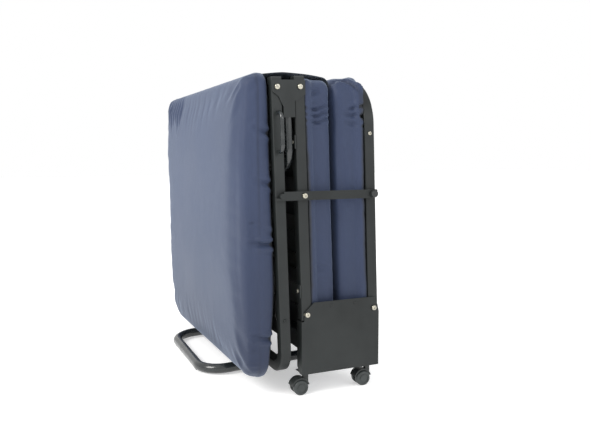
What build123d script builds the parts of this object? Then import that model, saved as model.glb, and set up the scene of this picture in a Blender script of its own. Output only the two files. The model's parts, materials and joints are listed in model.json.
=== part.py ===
from build123d import *
import math
import os

# Folding guest bed on casters, modelled folded up, the way it is stored.
# X runs through the folded stack (the bed's length once it is open), Y runs across the bed's width,
# Z is up. While the pieces are built, X = 0 is the middle of the wheeled base, Y = 0 is the middle of
# the bed's width and Z = 0 is the floor. "near" is the side of negative Y, which carries the latch.
# The open bed has a head section, a middle section and a foot section. Millimetres throughout.

# ---------------------------------------------------------------- driving dimensions
WIDTH = 800.0               # over the outside faces of the two end plates
SHEET = 2.0                 # sheet steel of the end plates
WASHER_GAP = 1.0            # between an end plate and a side rail
TUBE = 25.0                 # square tube of the three section frames
TUBE_WALL = 1.5
TUBE_CORNER = 3.0

BASE_HALF = 101.0           # half the width of an end plate
PLATE_BOTTOM = 52.0
PLATE_TOP = 220.0
FLANGE_TOP = 177.0
FLANGE_DEPTH = 28.0
CASTER_SHELF = 42.0         # depth of the bottom flange that carries the casters
SHOULDER_LEFT = [(-95.0, FLANGE_TOP), (-93.5, 199.0), (-70.0, PLATE_TOP)]    # cut-away upper corners, X and Z
SHOULDER_RIGHT = [(88.0, PLATE_TOP), (97.0, 201.0), (BASE_HALF, 184.0)]
RIVET_XS = (-25.0, 37.0)
RIVET_Z = 209.0
RIVET_D = 5.0
RIVET_HEAD_D = 9.0
RIVET_HEAD_H = 1.3
STIFFENER_SHEET = 2.5
STIFFENER_MARGIN = 14.0     # past the rivets at each end
STIFFENER_HALF = 8.0
CROSS_RAIL_DEPTH = 22.0
CROSS_RAIL_LOW = 107.0
CROSS_RAIL_HIGH = 151.0

PIVOT_X = 87.0              # base pivots, left and right of the middle
PIVOT_Z = 193.0             # height of the base pivots, and of every frame on the open bed
LINK_Z = 707.0              # height of the two upper pivots
LINK_SPACING = 54.0         # from the middle section's upper pivot to the head section's
LEAN = 1.9                  # the folded stack tips this many degrees towards the head mattress
LEG_REACH = 192.0           # from a pivot at frame height down to the floor, less a small gap

HEAD_BOTTOM = 55.0          # lowest point of the head section's frame, hanging down
RAIL_TOP = 729.0            # upper ends of the head section's rails
MIDDLE_RAIL_TOP = 731.0
RAIL_FOOT = 180.0           # lower ends of the middle and foot sections' rails
FOOT_TOP = 733.0            # top of the foot section's frame
HEAD_BEND = 45.0            # centre line radius of the head frame's corners
FOOT_BEND = 90.0            # centre line radius of the foot frame's corners

BOLT_D = 8.0                # pivot bolts
BOLT_HEAD_D = 12.5
BOLT_HEAD_H = 4.5
RUNNING = 0.05              # radial clearance of a hole that turns on a bolt
BRACE_ZS = (248.0, 587.0)
BRACE_SHEET = 3.0
BRACE_WIDTH = 30.0
BRACE_HEAD_H = 2.5

MATTRESS_WIDTH = 786.0
HEAD_PAD = 60.0             # the head section's mattress, at its upper end
INNER_PAD = 71.0            # thickness of the two mattresses that face each other
PAD_GAP = 1.5               # between a mattress and the frame under it
HEAD_PAD_BOTTOM = 43.0
HEAD_PAD_TOP = 736.0
MIDDLE_PAD_TOP = 729.0
FOOT_PAD_TOP = 738.0

STRIP_SHEET = 2.0           # fabric strip over the link, from mattress to mattress
STRIP_HALF_WIDTH = 365.0
STRIP_TOP = 742.0
STRIP_HEAD_X = -190.0
STRIP_MIDDLE_X = -20.0

SLAT_WIDTH = 38.0
SLAT_SHEET = 1.5
SLAT_LIP = 3.5
SLAT_COUNT = 6
HEAD_SLAT_PITCH = 90.0
MIDDLE_SLAT_PITCH = 90.0
FOOT_SLAT_PITCH = 73.0

LATCH_Z = 467.0
LATCH_HEIGHT = 20.0
LATCH_SHEET = 3.0
LATCH_STANDOFF = 7.0        # from the rails' faces to the back of the bar
STUD_D = 8.0
STUD_REACH = 1.0            # past the outer face of the bar
KNOB_D = 17.0
KNOB_LENGTH = 9.0

STABILISER_D = 25.0
STABILISER_X = -273.0       # centre line of the crossbar on the floor
STABILISER_ARM_Y = 178.0
STABILISER_BEND = 65.0
STABILISER_LIFT = 16.0      # how far the arms rise on their way under the base
PAD_LIFT = 1.0              # the crossbar stands this high, on its two glides
HANGER_SHEET = 3.0
HANGER_WIDTH = 30.0

LEG_D = 17.0
SUPPORT_D = 17.0
STEM_HALF = 13.5            # half the width of a link plate's stem
STEM_LOW = 641.0
LINK_PLATE_TOP = 722.0
LEG_WALL = 1.5
LEG_BEND = 45.0
LEG_END = 6.0               # how far a swing leg runs on past its own pivot
LEG_BOLT_D = 6.0
HEAD_LEG_Z = 185.0
FOOT_LEG_Z = 607.0
GLIDE = 3.0

CASTER_X = 82.0
CASTER_Y = 375.0
WHEEL_D = 36.0
WHEEL_WIDTH = 12.0
WHEEL_TRAIL = 16.0          # from the stem back to the axle
HUB_WIDTH = 9.0
AXLE_D = 5.0
STEM_D = 8.0
BOSS_D = 15.0
HOOD_WALL = 4.5
HOOD_TOP = 46.0

HANDLE_D = 9.0
HANDLE_LOW = 566.0
HANDLE_HIGH = 652.0
HANDLE_STANDOFF = 24.0
HANDLE_BEND = 16.0

# ---------------------------------------------------------------- derived places
HALF = WIDTH / 2
RAIL_OUT = HALF - SHEET - WASHER_GAP          # outer face of every side rail
RAIL_IN = RAIL_OUT - TUBE
RAIL_MID = RAIL_OUT - TUBE / 2
MIDDLE_X = -PIVOT_X
FOOT_X = PIVOT_X
HEAD_X = MIDDLE_X - LINK_SPACING
LINK_MID_X = (HEAD_X + MIDDLE_X) / 2
LINK_PLATE_IN = RAIL_OUT + 0.3
LINK_PLATE_OUT = HALF - 0.2

LATCH_OUT = RAIL_OUT + LATCH_STANDOFF + LATCH_SHEET
STUD_OUT = LATCH_OUT + STUD_REACH
STUD_LEFT_X = HEAD_X
STUD_RIGHT_X = FOOT_X + 1.0
STABILISER_Z = PAD_LIFT + STABILISER_D / 2
STABILISER_POST_X = BASE_HALF - SHEET - CROSS_RAIL_DEPTH / 2
PAD_REACH = PIVOT_X - 1.0                     # an inner mattress's lower end, from its section's pivot

# The part's origin is on the floor, under the middle of the whole folded bed.
X_LOW = STABILISER_X - STABILISER_D / 2
X_HIGH = BASE_HALF
Y_LOW = -(RAIL_OUT + HANDLE_STANDOFF + HANDLE_D / 2)
Y_HIGH = HALF + BOLT_HEAD_H
PLACE = Pos(-(X_LOW + X_HIGH) / 2, -(Y_LOW + Y_HIGH) / 2, 0)


# ---------------------------------------------------------------- where the pieces stand once folded
def tipped(pivot_x):
    """The place of a section that is built upright and then tipped about its base pivot."""
    return Pos(pivot_x, 0, PIVOT_Z) * Rot(0, -LEAN, 0) * Pos(-pivot_x, 0, -PIVOT_Z)


UPRIGHT = Pos(0, 0, 0)
HEAD_SIDE = tipped(MIDDLE_X)                  # the head and middle sections and the link between them
FOOT_SIDE = tipped(FOOT_X)
LATCH_PLACE = Pos(-(LATCH_Z - PIVOT_Z) * math.tan(math.radians(LEAN)), 0, 0)


# ---------------------------------------------------------------- helpers
def save(name, *solids, place=UPRIGHT):
    """Write one node, from one solid or a group of separate ones."""
    placed = [PLACE * place * solid for solid in solids]
    export_step(placed[0] if len(placed) == 1 else Compound(children=placed), f"parts/{name}.step")


def block(x0, x1, y0, y1, z0, z1):
    return Pos((x0 + x1) / 2, (y0 + y1) / 2, (z0 + z1) / 2) * Box(x1 - x0, y1 - y0, z1 - z0)


def rod_y(x, z, y0, y1, diameter):
    """A round bar along Y."""
    return Pos(x, (y0 + y1) / 2, z) * Rot(90, 0, 0) * Cylinder(diameter / 2, abs(y1 - y0))


def rod_x(y, z, x0, x1, diameter):
    """A round bar along X."""
    return Pos((x0 + x1) / 2, y, z) * Rot(0, 90, 0) * Cylinder(diameter / 2, abs(x1 - x0))


def rod_z(x, y, z0, z1, diameter):
    """A round bar along Z."""
    return Pos(x, y, (z0 + z1) / 2) * Cylinder(diameter / 2, z1 - z0)


def other_side(solid):
    """The same piece on the far side of the bed."""
    return mirror(solid, about=Plane.XZ)


def both_sides(solid):
    return [solid, other_side(solid)]


def outline_xz(points, y0, y1):
    """A flat plate from its outline in X and Z, between two values of Y."""
    face = Plane.XZ.offset(-y0) * make_face(Polyline(*points, close=True))
    return extrude(face, amount=-(y1 - y0))


def square_tube(path, x_dir):
    """A hollow square tube along a path, with its sides square to x_dir."""
    start = Plane(origin=path @ 0, x_dir=x_dir, z_dir=path % 0)
    bore = TUBE - 2 * TUBE_WALL
    section = RectangleRounded(TUBE, TUBE, TUBE_CORNER) - RectangleRounded(bore, bore, TUBE_CORNER / 2)
    return sweep(start * section, path=path)


def round_tube(path, diameter, wall):
    start = Plane(origin=path @ 0, z_dir=path % 0)
    return sweep(start * (Circle(diameter / 2) - Circle(diameter / 2 - wall)), path=path)


def pan_bolt(x, z, face_y, length, diameter, head_d, head_h):
    """A pan-head bolt along Y on the near side, its head outside face_y and its shank running inwards."""
    head = rod_y(x, z, face_y - head_h, face_y, head_d)
    outer_rim = head.edges().filter_by(GeomType.CIRCLE).sort_by(Axis.Y)[0]
    head = fillet(outer_rim, head_h * 0.55)
    recess = Pos(x, face_y - head_h + 0.75, z) * Rot(90, 0, 0)
    cross = Box(head_d * 0.42, 1.2, 1.5) + Box(1.2, head_d * 0.42, 1.5)
    return head + rod_y(x, z, face_y, face_y + length, diameter) - recess * cross


def hex_nut(x, z, y0, thickness, across, bore):
    """A hexagon nut along Y on the near side."""
    ring = RegularPolygon(across / math.sqrt(3), 6) - Circle(bore / 2)
    return extrude(Plane.XZ.offset(-y0) * Pos(x, z) * ring, amount=-thickness)


def end_cap(x, z_end, points_up):
    """A plastic plug in the end of a near side rail."""
    bore = TUBE - 2 * TUBE_WALL - 0.2
    sign = 1 if points_up else -1
    flange = Pos(x, -RAIL_MID, z_end - sign) * Box(TUBE, TUBE, 2)
    flange = fillet(flange.edges().filter_by(Axis.Z), TUBE_CORNER)
    plug = Pos(x, -RAIL_MID, z_end - sign * 7.5) * Box(bore, bore, 11)
    return flange + fillet(plug.edges().filter_by(Axis.Z), TUBE_CORNER / 2)


def slat(mattress_face, z, side):
    """A pressed steel slat between the rails. side is the direction of the mattress along X."""
    back = mattress_face - side * SLAT_SHEET
    lip = mattress_face - side * SLAT_LIP
    low, high = z - SLAT_WIDTH / 2, z + SLAT_WIDTH / 2
    points = [(mattress_face, low), (mattress_face, high), (lip, high), (lip, high - SLAT_SHEET),
              (back, high - SLAT_SHEET), (back, low + SLAT_SHEET), (lip, low + SLAT_SHEET), (lip, low)]
    return outline_xz(points, -RAIL_IN, RAIL_IN)


def slats(mattress_face, first_z, pitch, side):
    return [slat(mattress_face, first_z + k * pitch, side) for k in range(SLAT_COUNT)]


def u_path(x, half_width, z_open, z_closed, radius):
    """A U in the plane of one X: two legs that end at z_open, joined by a bar at z_closed."""
    return FilletPolyline((x, -half_width, z_open), (x, -half_width, z_closed),
                          (x, half_width, z_closed), (x, half_width, z_open), radius=radius)


def swing_leg(x, z_pivot, direction):
    """A U-shaped round leg inside the rails. direction is +1 where it is folded upwards."""
    half_width = RAIL_IN - 2 - LEG_D / 2
    z_bar = z_pivot + direction * (LEG_REACH - GLIDE - LEG_D / 2)
    leg = round_tube(u_path(x, half_width, z_pivot - direction * LEG_END, z_bar, LEG_BEND),
                     LEG_D, LEG_WALL)
    for side in (-1, 1):
        leg -= rod_y(x, z_pivot, side * (half_width - LEG_D), side * (half_width + LEG_D),
                     LEG_BOLT_D + 2 * RUNNING)
    return leg


def leg_glides(x, z_bar, direction, diameter, y):
    """Rubber pads under a leg's crossbar. direction points from the bar towards the floor side."""
    tip = z_bar + direction * (diameter / 2 + GLIDE)
    heart = z_bar + direction * diameter * 0.2
    half = diameter * 0.36
    pad = block(x - half, x + half, -y - 18, -y + 18, min(tip, heart), max(tip, heart))
    return both_sides(pad - rod_y(x, z_bar, -y - 20, -y + 20, diameter))


def leg_bolts(x, z):
    """Bolts that carry a swing leg, with their nuts, through rail and leg."""
    bolt = pan_bolt(x, z, -RAIL_OUT, TUBE + 2 + LEG_D + 1, LEG_BOLT_D, 9.0, 2.5)
    nut = hex_nut(x, z, -RAIL_IN + 2 + LEG_D + 0.5, 3.0, 10.0, LEG_BOLT_D)
    return both_sides(bolt + nut)


def bolt_hole(x, z, diameter=BOLT_D):
    """A hole for a pivot bolt through both side rails of a section."""
    return rod_y(x, z, -HALF, HALF, diameter + 2 * RUNNING)


# ---------------------------------------------------------------- base
def end_plate():
    """The near end plate: a face, two side flanges, and a shelf for the casters."""
    outline = [(-BASE_HALF, PLATE_BOTTOM), (-BASE_HALF, FLANGE_TOP), *SHOULDER_LEFT, *SHOULDER_RIGHT,
               (BASE_HALF, PLATE_BOTTOM)]
    plate = outline_xz(outline, -HALF, -HALF + SHEET)
    inner = -HALF + FLANGE_DEPTH
    for side in (-1, 1):
        face = side * BASE_HALF
        flange = block(min(face, face - side * SHEET), max(face, face - side * SHEET),
                       -HALF, inner, PLATE_BOTTOM, FLANGE_TOP)
        lower_corner = flange.edges().filter_by(Axis.X).group_by(Axis.Y)[-1].sort_by(Axis.Z)[0]
        plate += chamfer(lower_corner, 14)
    plate += block(-BASE_HALF + SHEET, BASE_HALF - SHEET, -HALF, -HALF + CASTER_SHELF,
                   PLATE_BOTTOM, PLATE_BOTTOM + SHEET)
    for side in (-1, 1):
        plate -= rod_y(side * PIVOT_X, PIVOT_Z, -HALF - 1, -HALF + SHEET + 1, BOLT_D + 0.2)
        plate -= rod_z(side * CASTER_X, -CASTER_Y, PLATE_BOTTOM - 1, PLATE_BOTTOM + SHEET + 1, 8.2)
    for x in RIVET_XS:
        plate -= rod_y(x, RIVET_Z, -HALF - 1, -HALF + SHEET + 1, RIVET_D)
    return plate


def plate_stiffener():
    """A strip riveted behind the top edge of an end plate."""
    strip = block(RIVET_XS[0] - STIFFENER_MARGIN, RIVET_XS[1] + STIFFENER_MARGIN, -HALF + SHEET,
                  -HALF + SHEET + STIFFENER_SHEET, RIVET_Z - STIFFENER_HALF, RIVET_Z + STIFFENER_HALF)
    for x in RIVET_XS:
        strip -= rod_y(x, RIVET_Z, -HALF, -HALF + 6, RIVET_D)
    return strip


def rivet(x):
    head = rod_y(x, RIVET_Z, -HALF - RIVET_HEAD_H, -HALF, RIVET_HEAD_D)
    head = fillet(head.edges().filter_by(GeomType.CIRCLE).sort_by(Axis.Y)[0], 1.2)
    return head + rod_y(x, RIVET_Z, -HALF, -HALF + SHEET + STIFFENER_SHEET, RIVET_D)


def base_cross_rail(side):
    """A rectangular tube from end plate to end plate, behind the side flanges."""
    outer = side * (BASE_HALF - SHEET)
    x0, x1 = sorted((outer, outer - side * CROSS_RAIL_DEPTH))
    length = HALF - SHEET
    rail = block(x0, x1, -length, length, CROSS_RAIL_LOW, CROSS_RAIL_HIGH)
    rail = fillet(rail.edges().filter_by(Axis.Y), 2.5)
    wall = TUBE_WALL
    return rail - block(x0 + wall, x1 - wall, -length - 1, length + 1,
                        CROSS_RAIL_LOW + wall, CROSS_RAIL_HIGH - wall)


def stabiliser_foot():
    """The round U tube that stops the stack from tipping: two arms under the base, turned up at their ends."""
    arm_z = STABILISER_Z + STABILISER_LIFT
    corners = [(STABILISER_POST_X, -STABILISER_ARM_Y, CROSS_RAIL_LOW),
               (STABILISER_POST_X, -STABILISER_ARM_Y, arm_z),
               (STABILISER_X, -STABILISER_ARM_Y, STABILISER_Z),
               (STABILISER_X, STABILISER_ARM_Y, STABILISER_Z),
               (STABILISER_POST_X, STABILISER_ARM_Y, arm_z),
               (STABILISER_POST_X, STABILISER_ARM_Y, CROSS_RAIL_LOW)]
    path = FilletPolyline(*corners, radius=STABILISER_BEND)
    return round_tube(path, STABILISER_D, 1.8)


def stabiliser_hanger():
    """A flat strap from the left cross rail down to one arm of the stabiliser."""
    x1 = -BASE_HALF + SHEET
    run = (x1 - STABILISER_X) / (STABILISER_POST_X - STABILISER_X)
    arm_z = STABILISER_Z + run * STABILISER_LIFT
    strap = block(x1 - HANGER_SHEET, x1, -STABILISER_ARM_Y - HANGER_WIDTH / 2,
                  -STABILISER_ARM_Y + HANGER_WIDTH / 2, arm_z, CROSS_RAIL_HIGH - 3)
    hole = rod_x(-STABILISER_ARM_Y, arm_z, x1 - 10, x1 + 10, STABILISER_D + 2)
    return strap - hole


def stabiliser_glide(y):
    pad = block(STABILISER_X - 6, STABILISER_X + 6, y - 15, y + 15, 0, STABILISER_Z)
    return pad - rod_y(STABILISER_X, STABILISER_Z, y - 16, y + 16, STABILISER_D)


def make_base():
    plate = end_plate()
    save("end_plate_near", plate)
    save("end_plate_far", other_side(plate))
    save("base_cross_rail_left", base_cross_rail(-1))
    save("base_cross_rail_right", base_cross_rail(1))
    save("stabiliser_foot", stabiliser_foot())
    save("stabiliser_hangers", *both_sides(stabiliser_hanger()))
    save("stabiliser_glides", *both_sides(stabiliser_glide(-STABILISER_ARM_Y + 75)))
    bolts, nuts, washers = [], [], []
    for x in (-PIVOT_X, PIVOT_X):
        length = HALF - RAIL_IN + 8
        bolts += both_sides(pan_bolt(x, PIVOT_Z, -HALF, length, BOLT_D, BOLT_HEAD_D, BOLT_HEAD_H))
        nuts += both_sides(hex_nut(x, PIVOT_Z, -RAIL_IN + 0.5, 6.5, 13.0, BOLT_D))
        washer = rod_y(x, PIVOT_Z, -HALF + SHEET, -RAIL_OUT - 0.1, 16.0)
        washers += both_sides(washer - rod_y(x, PIVOT_Z, -HALF, -RAIL_IN, BOLT_D))
    save("base_pivot_bolts", *bolts)
    save("base_pivot_nuts", *nuts)
    save("base_pivot_washers", *washers)
    save("plate_stiffeners", *both_sides(plate_stiffener()))
    save("plate_rivets", *[piece for x in RIVET_XS for piece in both_sides(rivet(x))])


# ---------------------------------------------------------------- casters
def caster_hood(x, y):
    """Arched plastic body between two wheels, with its axle, turning on a steel stem."""
    axle_x, axle_z, web = x - WHEEL_TRAIL, WHEEL_D / 2, HUB_WIDTH / 2
    crown = rod_y(axle_x, axle_z, y - web - 8, y + web + 8, WHEEL_D + 2 * HOOD_WALL)
    crown &= block(axle_x - 30, axle_x + 30, y - 30, y + 30, axle_z + 5, HOOD_TOP)
    for side in (-1, 1):
        y0, y1 = sorted((y + side * web, y + side * (web + 9)))
        crown -= rod_y(axle_x, axle_z, y0, y1, WHEEL_D + 2)
    core = rod_y(axle_x, axle_z, y - web + 0.4, y + web - 0.4, WHEEL_D - 8)
    boss = rod_z(x, y, axle_z + 4, PLATE_BOTTOM - 0.6, BOSS_D)
    boss &= (block(x - 20, x + 20, y - web, y + web, 0, HOOD_TOP)
             + rod_z(x, y, HOOD_TOP - 1, PLATE_BOTTOM, BOSS_D))
    axle_half = web + WHEEL_WIDTH - 3
    axle = rod_y(axle_x, axle_z, y - axle_half, y + axle_half, AXLE_D)
    return crown + core + boss + axle - rod_z(x, y, HOOD_TOP - 20, PLATE_BOTTOM + 8, STEM_D + 2 * RUNNING)


def caster_wheels(x, y):
    """Two wheels, with a shallow dished disc outside and a blind bore for the axle inside."""
    axle_x, axle_z = x - WHEEL_TRAIL, WHEEL_D / 2
    wheels = []
    for side in (-1, 1):
        inner = y + side * (HUB_WIDTH / 2 + 0.4)
        outer = inner + side * WHEEL_WIDTH
        wheel = rod_y(axle_x, axle_z, min(inner, outer), max(inner, outer), WHEEL_D)
        rims = wheel.edges().filter_by(GeomType.CIRCLE).sort_by(Axis.Y)
        wheel = fillet(rims[0] if side < 0 else rims[-1], 4.0)
        step = rod_y(axle_x, axle_z, outer - 1.0, outer + 1.0, WHEEL_D - 12)
        wheel -= step - rod_y(axle_x, axle_z, outer - 1.0, outer + 1.0, WHEEL_D - 18)
        wheel -= rod_y(axle_x, axle_z, inner - side, inner + side * (WHEEL_WIDTH - 2.5), AXLE_D + 2 * RUNNING)
        wheels.append(wheel)
    return wheels


def caster_stem(x, y):
    """Steel stem fixed in the shelf, with a collar above it."""
    shelf = PLATE_BOTTOM + SHEET
    return rod_z(x, y, HOOD_TOP - 19, shelf + 3, STEM_D) + rod_z(x, y, shelf, shelf + 4, BOSS_D - 2)


def make_casters():
    stems = []
    for end, x in (("left", -CASTER_X), ("right", CASTER_X)):
        for side, y in (("near", -CASTER_Y), ("far", CASTER_Y)):
            save(f"caster_hood_{side}_{end}", caster_hood(x, y))
            save(f"caster_wheels_{side}_{end}", *caster_wheels(x, y))
            stems.append(caster_stem(x, y))
    save("caster_stems", *stems)


# ---------------------------------------------------------------- middle section
def middle_rail():
    """The near side rail: a straight square tube, drilled for the two pivots and the latch."""
    path = Line((MIDDLE_X, -RAIL_MID, RAIL_FOOT + 2), (MIDDLE_X, -RAIL_MID, MIDDLE_RAIL_TOP - 2))
    rail = square_tube(path, (1, 0, 0))
    for z in BRACE_ZS:
        rail -= rod_x(-RAIL_MID, z, MIDDLE_X - TUBE / 2 - 1, MIDDLE_X - TUBE / 2 + 3, LEG_BOLT_D)
    return rail - bolt_hole(MIDDLE_X, PIVOT_Z) - bolt_hole(MIDDLE_X, LINK_Z)


def middle_brace(z):
    """A flat bar on the rails' outer faces, from side to side."""
    face = MIDDLE_X - TUBE / 2
    brace = block(face - BRACE_SHEET, face, -RAIL_OUT, RAIL_OUT, z - BRACE_WIDTH / 2, z + BRACE_WIDTH / 2)
    for side in (-1, 1):
        brace -= rod_x(side * RAIL_MID, z, face - 5, face + 1, LEG_BOLT_D)
    return brace


def brace_bolt(z):
    face = MIDDLE_X - TUBE / 2 - BRACE_SHEET
    head = rod_x(-RAIL_MID, z, face - BRACE_HEAD_H, face, 10.0)
    head = fillet(head.edges().filter_by(GeomType.CIRCLE).sort_by(Axis.X)[0], 1.5)
    return head + rod_x(-RAIL_MID, z, face, face + BRACE_SHEET + TUBE_WALL, LEG_BOLT_D)


def inner_pad_outline(top):
    """Outline in X and Z of the foot section's mattress. Its lower end is an arc about the section's pivot."""
    outer = PIVOT_X - TUBE / 2 - PAD_GAP
    inner = outer - INNER_PAD
    low_outer = PIVOT_Z - math.sqrt(PAD_REACH ** 2 - (PIVOT_X - outer) ** 2)
    low_inner = PIVOT_Z - math.sqrt(PAD_REACH ** 2 - (PIVOT_X - inner) ** 2)
    angles = [math.atan2(low - PIVOT_Z, x - PIVOT_X) for x, low in ((outer, low_outer), (inner, low_inner))]
    angle = sum(angles) / 2
    halfway = (PIVOT_X + PAD_REACH * math.cos(angle), PIVOT_Z + PAD_REACH * math.sin(angle))
    bend = 24.0
    cut = bend * (1 - math.sqrt(0.5))
    return [ThreePointArc((outer, low_outer), halfway, (inner, low_inner)),
            Line((inner, low_inner), (inner, top - bend)),
            ThreePointArc((inner, top - bend), (inner + cut, top - cut), (inner + bend, top)),
            Line((inner + bend, top), (outer - bend, top)),
            ThreePointArc((outer - bend, top), (outer - cut, top - cut), (outer, top - bend)),
            Line((outer, top - bend), (outer, low_outer))]


def inner_pad(top):
    """A mattress that faces the other one across the middle of the base, on the foot side."""
    return extrude(Plane.XZ * make_face(inner_pad_outline(top)), amount=MATTRESS_WIDTH / 2, both=True)


def strip_half(outer_x, outer_z, inner_x):
    """Half of the fabric strip that bridges the head and middle mattresses over the link."""
    points = [(outer_x, outer_z), (inner_x, STRIP_TOP - STRIP_SHEET), (inner_x, STRIP_TOP),
              (outer_x, outer_z + STRIP_SHEET)]
    return outline_xz(points, -STRIP_HALF_WIDTH, STRIP_HALF_WIDTH)


def make_middle_section():
    rail = middle_rail()
    save("middle_rail_near", rail, place=HEAD_SIDE)
    save("middle_rail_far", other_side(rail), place=HEAD_SIDE)
    caps = [end_cap(MIDDLE_X, MIDDLE_RAIL_TOP, True), end_cap(MIDDLE_X, RAIL_FOOT, False)]
    drilled = [cap - bolt_hole(MIDDLE_X, PIVOT_Z) for cap in caps]
    save("middle_end_caps", *[piece for cap in drilled for piece in both_sides(cap)], place=HEAD_SIDE)
    save("middle_braces", *[middle_brace(z) for z in BRACE_ZS], place=HEAD_SIDE)
    save("brace_bolts", *[piece for z in BRACE_ZS for piece in both_sides(brace_bolt(z))], place=HEAD_SIDE)
    save("middle_slats", *slats(MIDDLE_X + TUBE / 2, 216.0, MIDDLE_SLAT_PITCH, 1), place=HEAD_SIDE)
    save("middle_mattress", mirror(inner_pad(MIDDLE_PAD_TOP), about=Plane.YZ), place=HEAD_SIDE)
    strip = strip_half(STRIP_MIDDLE_X, MIDDLE_PAD_TOP + 1.0, LINK_MID_X + 0.6)
    save("strip_middle", strip, place=HEAD_SIDE)


# ---------------------------------------------------------------- latch
def latch_bar():
    """Flat bar that turns on the middle rail. Each end sits on a stud, in a notch that is open outwards."""
    low, high = LATCH_Z - LATCH_HEIGHT / 2, LATCH_Z + LATCH_HEIGHT / 2
    left, right = HEAD_X - 16.0, FOOT_X + 12.0
    clear = STUD_D / 2 + 0.4
    points = [(left, low), (STUD_RIGHT_X - clear, low), (STUD_RIGHT_X - clear, LATCH_Z + clear),
              (right, LATCH_Z + clear), (right, high), (STUD_LEFT_X + clear, high),
              (STUD_LEFT_X + clear, LATCH_Z - clear), (left, LATCH_Z - clear)]
    bar = outline_xz(points, -LATCH_OUT, -LATCH_OUT + LATCH_SHEET)
    corners = bar.edges().filter_by(Axis.Y).sort_by(Axis.X)
    bar = fillet([corners[0], corners[-1]], 2.0)
    return bar - rod_y(MIDDLE_X, LATCH_Z, -LATCH_OUT - 1, -LATCH_OUT + LATCH_SHEET + 1, BOLT_D + 2 * RUNNING)


def make_latch():
    save("latch_bar", latch_bar(), place=LATCH_PLACE)
    bolt = pan_bolt(MIDDLE_X, LATCH_Z, -LATCH_OUT - 0.3, LATCH_SHEET + LATCH_STANDOFF + 0.3,
                    BOLT_D, BOLT_HEAD_D, BOLT_HEAD_H)
    save("latch_pivot_bolt", bolt, place=LATCH_PLACE)
    spacer = rod_y(MIDDLE_X, LATCH_Z, -RAIL_OUT - LATCH_STANDOFF + 0.3, -RAIL_OUT, 15.0)
    spacer -= rod_y(MIDDLE_X, LATCH_Z, -LATCH_OUT, -RAIL_IN, BOLT_D)
    save("latch_spacer", spacer, place=LATCH_PLACE)
    left = rod_y(STUD_LEFT_X, LATCH_Z, -STUD_OUT, -RAIL_OUT, STUD_D)
    left += rod_y(STUD_LEFT_X, LATCH_Z, -STUD_OUT - 2.5, -STUD_OUT, STUD_D + 4)
    save("latch_stud_left", left, place=LATCH_PLACE)
    right = rod_y(STUD_RIGHT_X, LATCH_Z, -STUD_OUT - KNOB_LENGTH + 5, -RAIL_OUT, STUD_D)
    save("latch_stud_right", right, place=LATCH_PLACE)
    knob = rod_y(STUD_RIGHT_X, LATCH_Z, -STUD_OUT - KNOB_LENGTH, -STUD_OUT, KNOB_D)
    knob = fillet(knob.edges().filter_by(GeomType.CIRCLE).sort_by(Axis.Y)[0], 3.0)
    save("latch_knob", knob - right, place=LATCH_PLACE)


# ---------------------------------------------------------------- link and support leg
def link_plate():
    """The near link plate. Both upper pivots pass through it, and its stem carries the support leg."""
    left, right = HEAD_X - TUBE / 2, MIDDLE_X + TUBE / 2
    points = [(left, LINK_PLATE_TOP), (left, LINK_Z - 9), (HEAD_X + 3, LINK_Z - 21),
              (LINK_MID_X - STEM_HALF, LINK_Z - 43), (LINK_MID_X - STEM_HALF, STEM_LOW),
              (LINK_MID_X + STEM_HALF, STEM_LOW), (LINK_MID_X + STEM_HALF, LINK_Z - 31),
              (right, LINK_Z - 17), (right, LINK_PLATE_TOP)]
    plate = outline_xz(points, -LINK_PLATE_OUT, -LINK_PLATE_IN)
    corners = plate.edges().filter_by(Axis.Y)
    outer = [edge for edge in corners if edge.center().Z > LINK_PLATE_TOP - 1]
    plate = fillet(outer, 3.0)
    for x in (HEAD_X, MIDDLE_X):
        plate -= rod_y(x, LINK_Z, -HALF - 1, -RAIL_OUT, BOLT_D)
    return plate


def support_leg():
    """Round U tube, welded behind the two stems, that stands on the floor once the bed is open."""
    half_width = LINK_PLATE_IN - SUPPORT_D / 2
    z_bar = LINK_Z - LEG_REACH + GLIDE + SUPPORT_D / 2
    return round_tube(u_path(LINK_MID_X, half_width, STEM_LOW + 24, z_bar, LEG_BEND), SUPPORT_D, LEG_WALL)


def make_link():
    plate = link_plate()
    save("link_plate_near", plate, place=HEAD_SIDE)
    save("link_plate_far", other_side(plate), place=HEAD_SIDE)
    save("support_leg", support_leg(), place=HEAD_SIDE)
    z_bar = LINK_Z - LEG_REACH + GLIDE + SUPPORT_D / 2
    save("support_leg_glides", *leg_glides(LINK_MID_X, z_bar, -1, SUPPORT_D, 300.0), place=HEAD_SIDE)
    bolts, nuts = [], []
    for x in (HEAD_X, MIDDLE_X):
        length = LINK_PLATE_OUT - RAIL_IN + 8
        bolts += both_sides(pan_bolt(x, LINK_Z, -LINK_PLATE_OUT, length, BOLT_D, BOLT_HEAD_D, BOLT_HEAD_H))
        nuts += both_sides(hex_nut(x, LINK_Z, -RAIL_IN + 0.5, 6.5, 13.0, BOLT_D))
    save("link_bolts", *bolts, place=HEAD_SIDE)
    save("link_nuts", *nuts, place=HEAD_SIDE)


# ---------------------------------------------------------------- head section
def head_frame():
    """Square tube bent to a U, hanging with its closed end down."""
    frame = square_tube(u_path(HEAD_X, RAIL_MID, RAIL_TOP - 2, HEAD_BOTTOM + TUBE / 2, HEAD_BEND), (1, 0, 0))
    return frame - bolt_hole(HEAD_X, LINK_Z) - bolt_hole(HEAD_X, HEAD_LEG_Z, LEG_BOLT_D - 2 * RUNNING)


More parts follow.
